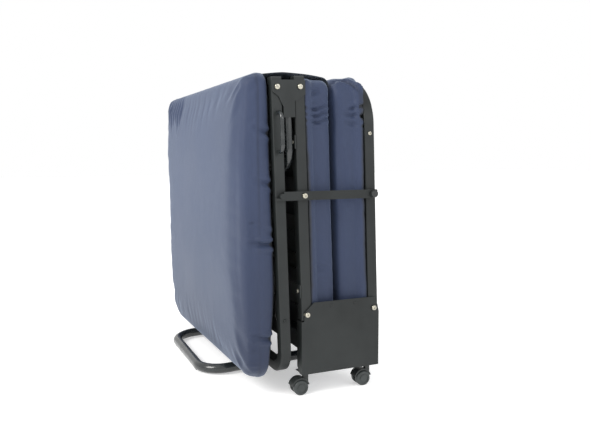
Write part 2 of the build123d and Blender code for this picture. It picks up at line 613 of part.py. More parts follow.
def head_mattress():
    """Slab with rounded corners outside the hanging frame, built tipped: its inner face follows the frame,
    while its outer face hangs upright."""
    inner = HEAD_X - TUBE / 2 - PAD_GAP
    top = (HEAD_SIDE * Pos(inner, 0, HEAD_PAD_TOP)).position
    bottom = (HEAD_SIDE * Pos(inner, 0, HEAD_PAD_BOTTOM)).position
    outer = top.X - HEAD_PAD
    outline = [(outer, bottom.Z), (bottom.X, bottom.Z), (top.X, top.Z), (outer, top.Z)]
    pad = outline_xz(outline, -MATTRESS_WIDTH / 2, MATTRESS_WIDTH / 2)
    edges = pad.edges().filter_by(Axis.X).sort_by(Axis.Z)
    pad = fillet(edges[:2], 70.0)
    pad = fillet(pad.edges().filter_by(Axis.X).sort_by(Axis.Z)[-2:], 22.0)
    return fillet(pad.faces().sort_by(Axis.X)[0].edges(), 16.0)


def grab_handle():
    """Bent round bar on the near rail, standing off it, to pull the folded bed along by."""
    outside = -RAIL_OUT - HANDLE_STANDOFF
    path = FilletPolyline((HEAD_X, -RAIL_OUT, HANDLE_HIGH), (HEAD_X, outside, HANDLE_HIGH),
                          (HEAD_X, outside, HANDLE_LOW), (HEAD_X, -RAIL_OUT, HANDLE_LOW), radius=HANDLE_BEND)
    return round_tube(path, HANDLE_D, HANDLE_D / 2 - 2)


def make_head_section():
    save("head_frame", head_frame(), place=HEAD_SIDE)
    save("head_slats", *slats(HEAD_X - TUBE / 2, 222.0, HEAD_SLAT_PITCH, -1), place=HEAD_SIDE)
    save("head_end_caps", *both_sides(end_cap(HEAD_X, RAIL_TOP, True)), place=HEAD_SIDE)
    save("head_mattress", head_mattress())
    save("strip_head", strip_half(STRIP_HEAD_X, HEAD_PAD_TOP + 3.0, LINK_MID_X - 0.6), place=HEAD_SIDE)
    save("grab_handle", grab_handle(), place=HEAD_SIDE)
    save("head_leg_bolts", *leg_bolts(HEAD_X, HEAD_LEG_Z), place=HEAD_SIDE)
    save("head_leg", swing_leg(HEAD_X, HEAD_LEG_Z, 1), place=HEAD_SIDE)
    z_bar = HEAD_LEG_Z + LEG_REACH - GLIDE - LEG_D / 2
    save("head_leg_glides", *leg_glides(HEAD_X, z_bar, 1, LEG_D, 250.0), place=HEAD_SIDE)


# ---------------------------------------------------------------- foot section
def foot_frame():
    """Square tube bent to a U, standing with its closed end up."""
    frame = square_tube(u_path(FOOT_X, RAIL_MID, RAIL_FOOT + 2, FOOT_TOP - TUBE / 2, FOOT_BEND), (1, 0, 0))
    return frame - bolt_hole(FOOT_X, PIVOT_Z) - bolt_hole(FOOT_X, FOOT_LEG_Z, LEG_BOLT_D - 2 * RUNNING)


def make_foot_section():
    save("foot_frame", foot_frame(), place=FOOT_SIDE)
    save("foot_slats", *slats(FOOT_X - TUBE / 2, 208.0, FOOT_SLAT_PITCH, -1), place=FOOT_SIDE)
    cap = end_cap(FOOT_X, RAIL_FOOT, False) - bolt_hole(FOOT_X, PIVOT_Z)
    save("foot_end_caps", *both_sides(cap), place=FOOT_SIDE)
    save("foot_mattress", inner_pad(FOOT_PAD_TOP), place=FOOT_SIDE)
    save("foot_leg_bolts", *leg_bolts(FOOT_X, FOOT_LEG_Z), place=FOOT_SIDE)
    save("foot_leg", swing_leg(FOOT_X, FOOT_LEG_Z, -1), place=FOOT_SIDE)
    z_bar = FOOT_LEG_Z - LEG_REACH + GLIDE + LEG_D / 2
    save("foot_leg_glides", *leg_glides(FOOT_X, z_bar, -1, LEG_D, 250.0), place=FOOT_SIDE)


os.makedirs("parts", exist_ok=True)
make_base()
make_casters()
make_middle_section()
make_latch()
make_link()
make_head_section()
make_foot_section()
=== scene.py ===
import json
import math

import bmesh
import bpy
import numpy as np
from mathutils import Matrix, Vector, noise


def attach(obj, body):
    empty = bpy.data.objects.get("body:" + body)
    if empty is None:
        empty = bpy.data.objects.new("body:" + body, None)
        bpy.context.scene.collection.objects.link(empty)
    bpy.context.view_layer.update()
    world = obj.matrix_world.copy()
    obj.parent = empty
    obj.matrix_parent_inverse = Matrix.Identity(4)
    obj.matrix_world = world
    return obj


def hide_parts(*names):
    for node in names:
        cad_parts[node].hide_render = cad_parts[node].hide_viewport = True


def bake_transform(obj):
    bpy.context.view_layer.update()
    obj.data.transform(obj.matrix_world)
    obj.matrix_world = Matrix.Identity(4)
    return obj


# Folding guest bed on casters, folded up. Metres, +Z up, -Y is the latch side, -X the head mattress.

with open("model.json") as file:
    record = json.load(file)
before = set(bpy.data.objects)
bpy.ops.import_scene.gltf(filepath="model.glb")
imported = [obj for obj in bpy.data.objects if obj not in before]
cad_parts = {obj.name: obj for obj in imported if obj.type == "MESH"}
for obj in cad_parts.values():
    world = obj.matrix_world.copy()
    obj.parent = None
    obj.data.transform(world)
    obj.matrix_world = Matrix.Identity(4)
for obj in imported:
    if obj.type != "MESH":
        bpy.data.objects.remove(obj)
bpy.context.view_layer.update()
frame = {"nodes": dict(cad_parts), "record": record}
nodes = frame["nodes"]
slot_of_node = {part["node"]: part["material_slot"] for part in frame["record"]["subparts"]}

MM = 0.001
joint_place = {joint["name"]: Vector(joint["pos_m"]) for joint in frame["record"]["behaviour"]["joints"]}
LEFT_PIVOT, RIGHT_PIVOT = joint_place["middle_fold"], joint_place["foot_fold"]
LINK_PIVOT = joint_place["link_level"]
BASE_MIDDLE = Vector(((LEFT_PIVOT.x + RIGHT_PIVOT.x) / 2, LEFT_PIVOT.y, 0.0))
LEAN = math.atan2(LEFT_PIVOT.x - LINK_PIVOT.x, LINK_PIVOT.z - LEFT_PIVOT.z)   # the folded stack tips towards -X

# ---------------------------------------------------------------- camera and studio
CAMERA_FROM_BASE = Vector((-0.6755, -1.715, 0.5628))    # from the floor under the middle of the base
CAMERA_YAW = math.radians(23.05)        # from +Y towards +X
CAMERA_PITCH = math.radians(6.12)       # downwards
CAMERA_ROLL = math.radians(-0.19)
CAMERA_LENS = 39.137

WORLD_LIGHT = 1.0
FLOOR_HALF = 14.0
FLOOR_GLOW = 0.42           # burns the paper white, as in a product shot
KEY_POWER, FILL_POWER = 120.0, 26.0
LIGHTS_AIM = (0.0, 0.0, 0.4)


def make_camera():
    forward = Vector((math.sin(CAMERA_YAW) * math.cos(CAMERA_PITCH),
                      math.cos(CAMERA_YAW) * math.cos(CAMERA_PITCH), -math.sin(CAMERA_PITCH)))
    level_right = Vector((math.cos(CAMERA_YAW), -math.sin(CAMERA_YAW), 0.0))
    level_up = level_right.cross(forward)
    right = math.cos(CAMERA_ROLL) * level_right + math.sin(CAMERA_ROLL) * level_up
    up = math.cos(CAMERA_ROLL) * level_up - math.sin(CAMERA_ROLL) * level_right
    data = bpy.data.cameras.new("camera")
    data.lens = CAMERA_LENS
    data.sensor_width = 36.0
    data.clip_end = 60.0
    camera = bpy.data.objects.new("camera", data)
    turn = Matrix((right, up, -forward)).transposed().to_4x4()
    camera.matrix_world = Matrix.Translation(BASE_MIDDLE + CAMERA_FROM_BASE) @ turn
    bpy.context.scene.collection.objects.link(camera)
    bpy.context.scene.camera = camera


def area_light(name, place, aim, size, power, colour):
    data = bpy.data.lights.new(name, "AREA")
    data.shape = "RECTANGLE"
    data.size, data.size_y = size
    data.energy = power
    data.color = colour
    light = bpy.data.objects.new(name, data)
    direction = Vector(aim) - Vector(place)
    turn = direction.to_track_quat("-Z", "Y").to_matrix().to_4x4()
    light.matrix_world = Matrix.Translation(Vector(place)) @ turn
    bpy.context.scene.collection.objects.link(light)


def make_studio():
    world = bpy.data.worlds.new("studio")
    bpy.context.scene.world = world
    world.use_nodes = True
    background = world.node_tree.nodes["Background"]
    background.inputs["Color"].default_value = (1.0, 1.0, 1.0, 1.0)
    background.inputs["Strength"].default_value = WORLD_LIGHT
    area_light("key", (-3.2, -1.2, 2.6), LIGHTS_AIM, (1.8, 1.8), KEY_POWER, (1.0, 0.985, 0.96))
    area_light("fill", (1.6, -3.4, 1.8), LIGHTS_AIM, (1.6, 1.2), FILL_POWER, (0.95, 0.97, 1.0))
    view = bpy.context.scene.view_settings
    view.view_transform = "Standard"
    view.look = "None"


def make_floor():
    mesh = bpy.data.meshes.new("floor")
    corners = [(-FLOOR_HALF, -FLOOR_HALF, 0), (FLOOR_HALF, -FLOOR_HALF, 0),
               (FLOOR_HALF, FLOOR_HALF, 0), (-FLOOR_HALF, FLOOR_HALF, 0)]
    mesh.from_pydata(corners, [], [(0, 1, 2, 3)])
    floor = bpy.data.objects.new("floor", mesh)
    bpy.context.scene.collection.objects.link(floor)
    mesh.materials.append(floor_material())


# ---------------------------------------------------------------- material helpers
class Shader:
    """A Principled material, with short calls that add and join nodes."""

    def __init__(self, name):
        self.material = bpy.data.materials.new(name)
        self.material.use_nodes = True
        self.tree = self.material.node_tree
        self.main = self.tree.nodes["Principled BSDF"]
        self.coordinates = self.tree.nodes.new("ShaderNodeTexCoord").outputs["Object"]

    def plug(self, socket, value):
        if isinstance(value, bpy.types.NodeSocket):
            self.tree.links.new(value, socket)
        elif isinstance(value, tuple) and len(value) == 3 and socket.type == "RGBA":
            socket.default_value = (*value, 1.0)
        else:
            socket.default_value = value

    def set(self, **inputs):
        for name, value in inputs.items():
            self.plug(self.main.inputs[name.replace("_", " ")], value)

    def add(self, kind, inputs=None, **settings):
        made = self.tree.nodes.new("ShaderNode" + kind)
        for name, value in settings.items():
            setattr(made, name, value)
        for name, value in (inputs or {}).items():
            self.plug(made.inputs[name], value)
        return made

    def stretched(self, scale):
        """The object coordinates, scaled along each axis."""
        return self.add("Mapping", {"Vector": self.coordinates, "Scale": scale}).outputs["Vector"]

    def noise(self, scale, detail=3.0, roughness=0.5, vector=None, distortion=0.0):
        inputs = {"Vector": vector or self.coordinates, "Scale": scale, "Detail": detail,
                  "Roughness": roughness, "Distortion": distortion}
        return self.add("TexNoise", inputs).outputs["Fac"]

    def remap(self, value, low, high, to_low, to_high):
        inputs = {"Value": value, "From Min": low, "From Max": high, "To Min": to_low, "To Max": to_high}
        return self.add("MapRange", inputs, clamp=True).outputs["Result"]

    def math(self, operation, first, second=0.0):
        made = self.tree.nodes.new("ShaderNodeMath")
        made.operation = operation
        self.plug(made.inputs[0], first)
        self.plug(made.inputs[1], second)
        return made.outputs[0]

    def mix(self, factor, first, second):
        made = self.add("Mix", data_type="RGBA")
        self.plug(made.inputs["Factor"], factor)
        self.plug(made.inputs[6], first)
        self.plug(made.inputs[7], second)
        return made.outputs[2]

    def bump(self, height, strength, distance, under=None):
        inputs = {"Height": height, "Strength": strength, "Distance": distance}
        if under is not None:
            inputs["Normal"] = under
        return self.add("Bump", inputs).outputs["Normal"]

    def edges(self, radius, low, high):
        """About 1 along sharp outer edges and 0 on flat faces."""
        rounded = self.add("Bevel", {"Radius": radius}, samples=4).outputs["Normal"]
        true = self.add("NewGeometry").outputs["Normal"]
        dot = self.add("VectorMath", operation="DOT_PRODUCT")
        self.plug(dot.inputs[0], rounded)
        self.plug(dot.inputs[1], true)
        return self.remap(dot.outputs["Value"], high, low, 0.0, 1.0)


# ---------------------------------------------------------------- materials
def floor_material():
    shader = Shader("studio_floor")
    tone = shader.remap(shader.noise(0.7, 2.0), 0.3, 0.7, 0.0, 1.0)
    shader.set(Base_Color=shader.mix(tone, (0.82, 0.82, 0.82), (0.84, 0.84, 0.84)), Roughness=0.8)
    shader.set(Specular_IOR_Level=0.1, Emission_Color=(1.0, 1.0, 1.0), Emission_Strength=FLOOR_GLOW)
    return shader.material


def powder_coat(name, colour, roughness, worn):
    """Satin paint on steel: orange-peel grain, faint cloudiness, and slightly polished edges."""
    shader = Shader(name)
    cloud = shader.remap(shader.noise(9.0, 4.0), 0.35, 0.7, 0.0, 1.0)
    lighter = tuple(channel * 1.5 + 0.004 for channel in colour)
    paint = shader.mix(cloud, colour, lighter)
    patchy = shader.remap(shader.noise(60.0, 3.0), 0.45, 0.75, 0.0, 1.0)
    rubbed = shader.math("MULTIPLY", shader.edges(0.0012, 0.80, 0.97), patchy)
    shader.set(Base_Color=shader.mix(shader.math("MULTIPLY", rubbed, 0.6), paint, worn))
    grain = shader.noise(750.0, 2.0)
    smears = shader.noise(26.0, 3.0, vector=shader.stretched((1.0, 1.0, 0.35)))
    shader.set(Roughness=shader.remap(smears, 0.3, 0.7, roughness - 0.05, roughness + 0.08))
    shader.set(Normal=shader.bump(grain, 0.22, 0.0005), Specular_IOR_Level=0.36)
    return shader.material


def gloss_enamel(name, colour, roughness):
    """Glossy paint on round tube, with long scuffs and dust."""
    shader = Shader(name)
    dust = shader.remap(shader.noise(35.0, 5.0, 0.65), 0.52, 0.75, 0.0, 0.5)
    shader.set(Base_Color=shader.mix(dust, colour, (0.07, 0.075, 0.075)))
    scuffs = shader.noise(90.0, 3.0, vector=shader.stretched((0.25, 1.0, 0.25)))
    shader.set(Roughness=shader.remap(scuffs, 0.4, 0.75, roughness, roughness + 0.16))
    shader.set(Normal=shader.bump(shader.noise(260.0, 2.0), 0.10, 0.0006))
    shader.set(Coat_Weight=0.35, Coat_Roughness=0.08)
    return shader.material


def zinc_plate(name):
    """Bright zinc with a faint warm passivation and fine turning marks."""
    shader = Shader(name)
    tint = shader.remap(shader.noise(140.0, 3.0), 0.35, 0.65, 0.0, 1.0)
    shader.set(Base_Color=shader.mix(tint, (0.50, 0.475, 0.385), (0.36, 0.345, 0.30)), Metallic=1.0)
    marks = shader.noise(1400.0, 3.0, vector=shader.stretched((1.0, 0.2, 1.0)))
    shader.set(Roughness=shader.remap(shader.noise(300.0, 4.0), 0.3, 0.7, 0.20, 0.38))
    shader.set(Normal=shader.bump(marks, 0.15, 0.0003))
    return shader.material


def moulded_plastic(name, colour, roughness):
    """Spark-eroded moulding grain, with duller and cleaner patches."""
    shader = Shader(name)
    dust = shader.remap(shader.noise(45.0, 5.0, 0.6), 0.5, 0.8, 0.0, 0.7)
    shader.set(Base_Color=shader.mix(dust, colour, tuple(channel * 1.9 for channel in colour)))
    grain = shader.add("TexVoronoi", {"Vector": shader.coordinates, "Scale": 900.0}).outputs["Distance"]
    shader.set(Roughness=shader.remap(shader.noise(70.0, 3.0), 0.3, 0.7, roughness - 0.07, roughness + 0.08))
    shader.set(Normal=shader.bump(grain, 0.18, 0.0004))
    return shader.material


def worn_rubber(name):
    shader = Shader(name)
    scuff = shader.remap(shader.noise(110.0, 5.0, 0.7), 0.5, 0.75, 0.0, 1.0)
    shader.set(Base_Color=shader.mix(scuff, (0.015, 0.015, 0.015), (0.06, 0.058, 0.055)), Roughness=0.82)
    shader.set(Normal=shader.bump(shader.noise(500.0, 4.0), 0.3, 0.0006))
    return shader.material


THREAD_PITCH = 0.9 * MM
# painted shade: near-black for the cover's faces against the frames, seen only in the dark gaps between them
PAINTED_GAP_SHADE_COLOUR = (0.022, 0.024, 0.028)
SHEEN_TINT = (0.68, 0.80, 1.0, 1.0)
PAINTED_SHADE_LOW, PAINTED_SHADE_HIGH = 0.04, 0.50    # painted shade: the cloth gets darker from the upper height to the lower one
# how strong the painted shade is at the lower height
PAINTED_SHADE_DEPTH = 0.60


def woven_cloth(name, dark, light, sheen, roughness):
    """Plain-weave cover cloth: crossing threads, slubs, cloudy tone, a soft sheen and painted shade that darkens
    it towards the floor.
    Two point attributes paint more shade: near-black where the cover lies against the frames, seen only in the
    dark gaps, and darker sewn lines."""
    shader = Shader(name)
    turns = 2.0 * math.pi / THREAD_PITCH
    waves = []
    parts = shader.add("SeparateXYZ", {"Vector": shader.coordinates})
    for axis in ("X", "Y", "Z"):
        waves.append(shader.math("SINE", shader.math("MULTIPLY", parts.outputs[axis], turns)))
    weave = shader.math("MULTIPLY", shader.math("ADD", waves[0], waves[1]), waves[2])
    slub = shader.noise(420.0, 2.0, vector=shader.stretched((1.0, 1.0, 0.12)))
    threads = shader.math("ADD", shader.math("MULTIPLY", weave, 0.30), slub)
    cloud = shader.noise(5.0, 4.0, 0.55)
    tone = shader.math("ADD", shader.math("MULTIPLY", threads, 0.35), shader.math("MULTIPLY", cloud, 0.65))
    cover = shader.mix(shader.remap(tone, 0.25, 0.75, 0.0, 1.0), dark, light)
    # painted shade: the cloth is darker along the seam grooves
    sewn = shader.add("Attribute", attribute_name="painted_seam_shade").outputs["Fac"]
    cover = shader.mix(shader.math("MULTIPLY", sewn, 0.55), cover, tuple(channel * 0.45 for channel in dark))
    # painted shade: near-black where the cover lies against a frame
    under = shader.add("Attribute", attribute_name="painted_gap_shade").outputs["Fac"]
    # painted shade: the cloth is darkened towards the floor
    low = shader.remap(parts.outputs["Z"], PAINTED_SHADE_LOW, PAINTED_SHADE_HIGH, PAINTED_SHADE_DEPTH, 0.0)
    cover = shader.mix(low, cover, tuple(channel * 0.5 for channel in dark))
    shader.set(Base_Color=shader.mix(under, cover, PAINTED_GAP_SHADE_COLOUR))
    shader.set(Roughness=shader.remap(cloud, 0.3, 0.7, roughness - 0.06, roughness + 0.06))
    creases = shader.bump(shader.noise(24.0, 4.0, 0.55, distortion=0.4), 0.16, 0.004)
    shader.set(Normal=shader.bump(threads, 0.30, 0.0003, creases))
    shader.set(Sheen_Weight=shader.remap(under, 0.0, 1.0, sheen, 0.0), Sheen_Roughness=0.42)
    shader.set(Specular_IOR_Level=0.35)
    shader.main.inputs["Sheen Tint"].default_value = SHEEN_TINT
    return shader.material


def dress_cad_nodes():
    """Gives every CAD node that stays in view the material of its slot."""
    made = {
        "frame_black": powder_coat("frame_black", (0.0065, 0.0085, 0.0085), 0.48, (0.07, 0.075, 0.075)),
        "slat_steel": powder_coat("slat_steel", (0.010, 0.011, 0.011), 0.50, (0.06, 0.06, 0.06)),
        "tube_gloss": gloss_enamel("tube_gloss", (0.013, 0.016, 0.017), 0.20),
        "zinc": zinc_plate("zinc"),
        "plastic_black": moulded_plastic("plastic_black", (0.014, 0.017, 0.017), 0.48),
        "wheel_black": moulded_plastic("wheel_black", (0.022, 0.027, 0.027), 0.42),
        "rubber_black": worn_rubber("rubber_black"),
    }
    for name, slot in slot_of_node.items():
        if slot in made:
            for held in nodes[name].material_slots:
                held.material = made[slot]


# ---------------------------------------------------------------- mattresses
VOXEL = 7.5 * MM
SIM_FRAMES = 20
PRESSURE = 4.0
SLACK = 0.010               # how much larger the cloth is than the slab it starts as
CORNER_STEPS = 10
TIGHTEST_RADIUS = 6 * MM


def outline_ring(low, high, radii, inset):
    """Points round a rectangle in Y and Z, with its own radius at each corner.
    radii go round from low Y, low Z: near bottom, far bottom, far top, near top."""
    corners = [(low[0], low[1], 1, 1, 180), (high[0], low[1], -1, 1, 270),
               (high[0], high[1], -1, -1, 0), (low[0], high[1], 1, -1, 90)]
    ring = []
    for (y, z, side_y, side_z, start), radius in zip(corners, radii):
        small = max(radius - inset, TIGHTEST_RADIUS)
        centre_y = y + side_y * (inset + small)
        centre_z = z + side_z * (inset + small)
        for step in range(CORNER_STEPS + 1):
            angle = math.radians(start + 90 * step / CORNER_STEPS)
            ring.append((centre_y + small * math.cos(angle), centre_z + small * math.sin(angle)))
    return ring


def slab_mesh(name, x_low, x_high, low, high, radii, rim_low, rim_high):
    """A closed slab: the outline stacked along X, with rounded rims, remeshed to even quads."""
    turns = [math.pi / 2 * step / CORNER_STEPS for step in range(CORNER_STEPS + 1)]
    profile = [(x_low + rim_low * (1 - math.cos(turn)), rim_low * (1 - math.sin(turn))) for turn in turns]
    profile += [(x_high - rim_high * (1 - math.cos(turn)), rim_high * (1 - math.sin(turn)))
                for turn in reversed(turns)]
    mesh = bpy.data.meshes.new(name)
    shape = bmesh.new()
    rings = []
    for x, inset in profile:
        rings.append([shape.verts.new((x, y, z)) for y, z in outline_ring(low, high, radii, inset)])
    for first, second in zip(rings, rings[1:]):
        count = len(first)
        for k in range(count):
            shape.faces.new((first[k], first[(k + 1) % count], second[(k + 1) % count], second[k]))
    shape.faces.new(rings[0][::-1])
    shape.faces.new(rings[-1])
    bmesh.ops.recalc_face_normals(shape, faces=shape.faces)
    shape.to_mesh(mesh)
    shape.free()
    slab = bpy.data.objects.new(name, mesh)
    bpy.context.scene.collection.objects.link(slab)
    return slab


def evaluated_mesh(piece):
    """The piece's mesh with its modifiers, as a new mesh."""
    graph = bpy.context.evaluated_depsgraph_get()
    return bpy.data.meshes.new_from_object(piece.evaluated_get(graph))


def bake_modifiers(piece):
    made = evaluated_mesh(piece)
    piece.modifiers.clear()
    piece.data = made


def remesh(piece, voxel):
    even = piece.modifiers.new("even", "REMESH")
    even.mode = "VOXEL"
    even.voxel_size = voxel
    bake_modifiers(piece)


def points_of(piece):
    co = np.empty(len(piece.data.vertices) * 3)
    piece.data.vertices.foreach_get("co", co)
    return co.reshape(-1, 3)


def normals_of(piece):
    directions = np.empty(len(piece.data.vertices) * 3)
    piece.data.vertices.foreach_get("normal", directions)
    return directions.reshape(-1, 3)


def set_points(piece, co):
    piece.data.vertices.foreach_set("co", co.ravel())
    piece.data.update()


def inflate(piece, pinned, cap):
    """Swells the cover by cloth simulation, with its seams held, and limits how far a point may move."""
    start = points_of(piece)
    group = piece.vertex_groups.new(name="seams")
    group.add([int(index) for index in np.flatnonzero(pinned)], 1.0, "ADD")
    cloth = piece.modifiers.new("cloth", "CLOTH")
    settings = cloth.settings
    settings.quality = 5
    settings.mass = 0.25
    settings.tension_stiffness = 18.0
    settings.compression_stiffness = 18.0
    settings.shear_stiffness = 8.0
    settings.bending_stiffness = 0.35
    settings.use_pressure = True
    settings.uniform_pressure_force = PRESSURE
    settings.shrink_min = -SLACK
    settings.vertex_group_mass = "seams"
    settings.effector_weights.gravity = 0.0
    cloth.collision_settings.use_collision = False
    cloth.point_cache.frame_end = SIM_FRAMES
    scene = bpy.context.scene
    for step in range(1, SIM_FRAMES + 1):
        scene.frame_set(step)
    made = evaluated_mesh(piece)
    moved = np.empty(len(made.vertices) * 3)
    made.vertices.foreach_get("co", moved)
    bpy.data.meshes.remove(made)
    piece.modifiers.clear()
    piece.vertex_groups.clear()
    scene.frame_set(1)
    shift = moved.reshape(-1, 3) - start
    length = np.linalg.norm(shift, axis=1, keepdims=True) + 1e-9
    set_points(piece, start + shift * (cap * np.tanh(length / cap) / length))


def subdivide(piece):
    finer = piece.modifiers.new("finer", "SUBSURF")
    finer.levels = finer.render_levels = 1
    bake_modifiers(piece)


def smoothstep(value, low, high):
    part = np.clip((value - low) / (high - low), 0.0, 1.0)
    return part * part * (3.0 - 2.0 * part)


LIP = 0.60                  # height of the raised lips beside a fold, as a share of its depth
LIP_AWAY = 1.9              # how far they lie from it, in widths of the fold


def from_line(flat, start, end):
    """For each point, how far along the line it lies, from 0 to 1, and how far off the line."""
    first, last = np.array(start), np.array(end)
    run = last - first
    along = np.clip(((flat - first) @ run) / (run @ run), 0.0, 1.0)
    return along, np.linalg.norm(flat - first - np.outer(along, run), axis=1)


def press(co, out, facing, start, end, depth, width):
    """Pushes a fold line into the face that looks along one axis, with softly raised lips beside it.
    facing is the axis (0 for X, 1 for Y) and its sign; start and end are in the two other axes."""
    axis, sign = facing
    along, gap = from_line(co[:, [k for k in range(3) if k != axis]], start, end)
    taper = np.sin(np.pi * np.clip(along, 0.06, 0.94)) ** 0.6
    groove = -np.exp(-(gap / width) ** 2) + LIP * np.exp(-((gap - LIP_AWAY * width) / width) ** 2)
    shown = smoothstep(sign * out[:, axis], 0.15, 0.6)
    return co + out * (depth * taper * groove * shown)[:, None]


def along_line(co, out, start, end, width):
    """About 1 beside a line of the near side, given in X and Z."""
    gap = from_line(co[:, [0, 2]], start, end)[1]
    return np.exp(-(gap / width) ** 2) * smoothstep(-out[:, 1], 0.15, 0.6)


def no_welt():
    return []


def fan(centre, spread, reach, count, slope):
    """Fold lines that run together at one point of a side, given as (start, end) pairs in X and Z."""
    lines = []
    for k in range(count):
        part = k / (count - 1) - 0.5
        start = (centre[0] - reach, centre[1] + spread * part + slope * reach)
        lines.append((start, (centre[0], centre[1] + 0.25 * spread * part)))
    return lines


def ladder(x, width, z_low, z_high, pitch):
    """Short puckers across a sewn line, one above the other."""
    count = int((z_high - z_low) / pitch)
    lines = []
    for k in range(count):
        z = z_low + (k + 0.5) * pitch
        wide = width * (0.7 + 0.3 * math.sin(2.3 * k + x))
        lines.append(((x - wide / 2, z), (x + wide / 2, z + 0.12 * wide * math.sin(1.7 * k))))
    return lines


# Everything about a mattress is in millimetres from the middle of the base, before the stack is tipped.
HALF_WIDTH = 393.0
PIVOT_X = 87.0
PIVOT_Z = 193.0
END_REACH = 86.0            # the lower end of the two inner mattresses is round their section's pivot


NEAR, OUTER = (1, -1.0), (0, -1.0)


def head_folds():
    """The gathered corner of the head mattress: a fan of creases at the frame side, small tucks and puckers."""
    lines = [(NEAR, start, end, 4.2, 4.6) for start, end in fan((-158.0, 372.0), 56.0, 56.0, 5, 0.14)]
    lines += [(NEAR, (-212, 362), (-150, 356), 9.0, 5.5), (NEAR, (-206, 148), (-154, 141), 7.5, 5.5)]
    lines += [(NEAR, (-202, 616), (-160, 598), 6.0, 5.5), (NEAR, (-200, 500), (-158, 488), 5.5, 5.5)]
    for z_low, z_high in ((84.0, 158.0), (372.0, 412.0)):
        lines += [(NEAR, start, end, 2.6, 2.8) for start, end in ladder(-212.0, 17.0, z_low, z_high, 8.0)]
    for k in range(7):
        y = 345.0 - 27.0 * k
        length = 66.0 + 34.0 * math.sin(2.1 * k + 0.6) ** 2
        lines.append((OUTER, (y, 728.0), (y - 9.0, 728.0 - length), 2.4, 6.0))
    return lines


def middle_folds():
    lines = []
    for k in range(3):
        z = 664.0 - 14.0 * k
        lines.append((NEAR, (-78 + 4 * k, z), (-32 + 3 * k, z - 11), 6.0, 4.2))
        lines.append((NEAR, (-52 + 3 * k, z - 7), (-12 + 2 * k, z + 3), 4.8, 3.8))
    lines += [(NEAR, (-66, 690), (-26, 702), 4.0, 5.5), (NEAR, (-60, 300), (-14, 288), 3.0, 7.0)]
    return lines


def foot_folds():
    lines = [(NEAR, (76, 672), (40, 662), 6.0, 4.2), (NEAR, (26, 652), (74, 646), 5.0, 4.2),
             (NEAR, (34, 632), (68, 624), 4.0, 4.0), (NEAR, (18, 570), (26, 450), 3.0, 9.0)]
    return lines + [(NEAR, start, end, 6.0, 4.0) for start, end in foot_arc()]


def foot_arc():
    """The welt that comes over the top of the foot mattress and turns down its near side."""
    points = [(6, 722)] + [(22 + 44 * math.cos(turn), 690 + 42 * math.sin(turn))
                           for turn in np.radians(range(90, -15, -15))] + [(68, 640)]
    return list(zip(points, points[1:]))


MATTRESSES = {
    # x and z: the slab before it swells. held: lines that don't swell, and sewn: those that show, as X.
    "head_mattress": dict(
        body="head_section", x=(-230.0, -174.5), z=(44.0, 738.0), cap=7.0, held=(-197.0, -177.0), sewn=(-199.0,),
        rims=(20.0, 8.0), radii=(52.0, 96.0, 30.0, 34.0), painted_gap_side=1, pivot=None, folds=head_folds, welt=no_welt),
    "middle_mattress": dict(
        body="middle_section", x=(-73.5, -4.0), z=(110.0, 730.0), cap=5.0, held=(-66.0,), sewn=(),
        rims=(5.0, 18.0), radii=(20.0, 20.0, 26.0, 26.0), painted_gap_side=-1, pivot=-PIVOT_X, folds=middle_folds,
        welt=no_welt),
    "foot_mattress": dict(
        body="foot_section", x=(4.0, 73.5), z=(110.0, 742.0), cap=5.0, held=(66.0,), sewn=(),
        rims=(18.0, 5.0), radii=(20.0, 20.0, 44.0, 52.0), painted_gap_side=1, pivot=PIVOT_X, folds=foot_folds,
        welt=foot_arc),
}
INNER_PLANE = 1.0           # the two inner mattresses press flat against each other this far from the middle
FRAME_PLANE = 74.0          # and lie against their frames here
END_PLATE_PLANE = 397.0     # the end plates keep them in below the plates' upper edges
END_PLATE_TOP = 224.0
HEAD_OUTER, HEAD_INNER, HEAD_TOP = -230.0, -172.4, 733.0
HEAD_BELLY = 10.0           # how far the outer face stands out at mid height
HEAD_SAG = 17.0             # how far the far lower corner hangs
FLUSH = 393.5               # the inner two reach the outer faces of their rails here
SIDE_INSET = 4.0            # the slab is narrower than the cover by this much on each side
END_EDGE = 13.0             # half the depth of the rounded lower end where it is thinnest
SEAM_DEPTH, SEAM_WIDTH = 1.4, 3.0
WELT_WIDTH = 3.2


def hang(co):
    """Thickens the head mattress downwards, as its inner face follows the tipped frame; adds belly and sag."""
    extra = (HEAD_TOP - co[:, 2]) * math.tan(LEAN) * smoothstep(co[:, 2], 40.0, 300.0)
    inwards = np.clip((co[:, 0] - HEAD_OUTER) / (HEAD_INNER - HEAD_OUTER), 0.0, 1.0)
    belly = smoothstep(co[:, 2], 90.0, 330.0) * (1.0 - smoothstep(co[:, 2], 540.0, 720.0))
    far = (co[:, 1] + HALF_WIDTH) / (2 * HALF_WIDTH)
    co[:, 0] += extra * inwards - HEAD_BELLY * belly * (1.0 - inwards)
    co[:, 2] -= HEAD_SAG * far * (1.0 - smoothstep(co[:, 2], 45.0, 260.0))
    return co


def follow_end_arc(co, pivot_x):
    """Draws the lower end in, so that it clears the other mattress when its section folds."""
    depth = np.clip(END_REACH ** 2 - (co[:, 0] - pivot_x) ** 2, END_EDGE ** 2, None)
    reach = np.sqrt(depth) / (END_REACH - 1.0)
    low = co[:, 2] < PIVOT_Z
    co[low, 2] = PIVOT_Z - (PIVOT_Z - co[low, 2]) * reach[low]
    return co


